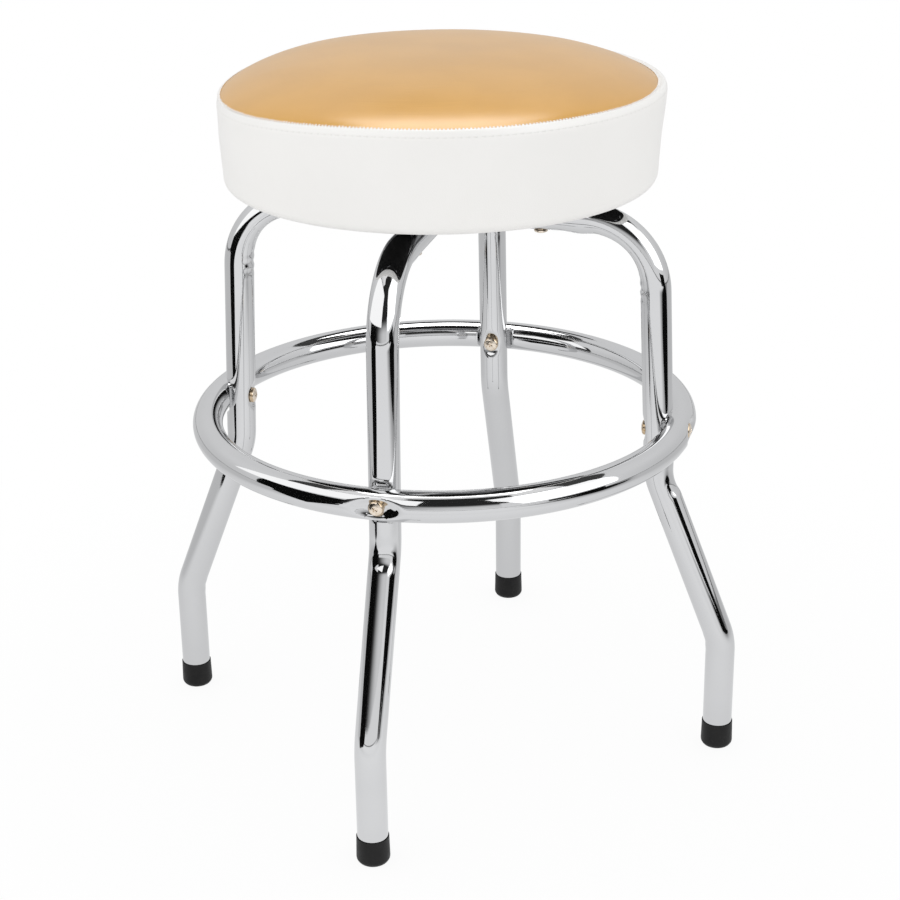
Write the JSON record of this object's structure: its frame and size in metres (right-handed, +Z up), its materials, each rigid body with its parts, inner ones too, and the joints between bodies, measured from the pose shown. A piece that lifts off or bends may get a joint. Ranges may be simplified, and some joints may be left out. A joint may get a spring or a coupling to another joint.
{
  "type": "bar stool",
  "caption": "Backless round bar stool: padded vinyl seat on a ball-bearing swivel, crossed chrome tube legs with a screwed-on foot ring and rubber foot caps.",
  "frame": {"origin": "on the floor, below the axis that the seat turns about", "axes": "+Z up along the seat axis; one leg along each of -Y (front), +X (right), +Y (back) and -X (left)"},
  "size_m": [0.5198, 0.5198, 0.61],
  "materials": {
    "chrome_tube": "bright chrome plate",
    "nickel_fastener": "warm nickel plate",
    "zinc_steel": "zinc plate",
    "ball_steel": "polished",
    "cage_plastic": "moulded",
    "rubber": "matt",
    "gold_vinyl": "metallic gold vinyl",
    "white_vinyl": "smooth white vinyl",
    "plywood": "raw plywood",
    "foam": "open-cell foam",
    "dust_cloth": "non-woven cloth"
  },
  "bodies": {
    "base": {"leg_frame_lower": "chrome_tube", "leg_frame_upper": "chrome_tube", "foot_ring": "chrome_tube", "lower_swivel_plate": "zinc_steel", "ring_screw_front": "nickel_fastener", "ring_screw_right": "nickel_fastener", "ring_screw_back": "nickel_fastener", "ring_screw_left": "nickel_fastener", "ring_barrel_nut_front": "nickel_fastener", "ring_barrel_nut_right": "nickel_fastener", "ring_barrel_nut_back": "nickel_fastener", "ring_barrel_nut_left": "nickel_fastener", "foot_cap_front": "rubber", "foot_cap_right": "rubber", "foot_cap_back": "rubber", "foot_cap_left": "rubber", "frame_bolt_front": "nickel_fastener", "frame_bolt_right": "nickel_fastener", "frame_bolt_back": "nickel_fastener", "frame_bolt_left": "nickel_fastener", "frame_nut_front": "zinc_steel", "frame_nut_right": "zinc_steel", "frame_nut_back": "zinc_steel", "frame_nut_left": "zinc_steel"},
    "bearing": {"ball_cage": "cage_plastic", "bearing_ball_01": "ball_steel", "bearing_ball_02": "ball_steel", "bearing_ball_03": "ball_steel", "bearing_ball_04": "ball_steel", "bearing_ball_05": "ball_steel", "bearing_ball_06": "ball_steel", "bearing_ball_07": "ball_steel", "bearing_ball_08": "ball_steel", "bearing_ball_09": "ball_steel", "bearing_ball_10": "ball_steel", "bearing_ball_11": "ball_steel", "bearing_ball_12": "ball_steel"},
    "seat": {"upper_swivel_plate": "zinc_steel", "swivel_rivet": "zinc_steel", "seat_board": "plywood", "dust_cover": "dust_cloth", "seat_foam": "foam", "seat_top_cover": "gold_vinyl", "seat_side_band": "white_vinyl", "seat_screw_1": "zinc_steel", "seat_screw_2": "zinc_steel", "seat_screw_3": "zinc_steel", "seat_screw_4": "zinc_steel"}
  },
  "joints": [
    {"name": "seat_swivel", "type": "hinge", "parent": "base", "child": "seat", "pos_m": [0, 0, 0.49775], "axis": [0, 0, 1], "continuous": true},
    {"name": "bearing_roll", "type": "hinge", "parent": "base", "child": "bearing", "pos_m": [0, 0, 0.49775], "axis": [0, 0, 1], "continuous": true}
  ],
  "couplings": [
    {"joint": "bearing_roll", "follows": "seat_swivel", "ratio": 0.5}
  ]
}
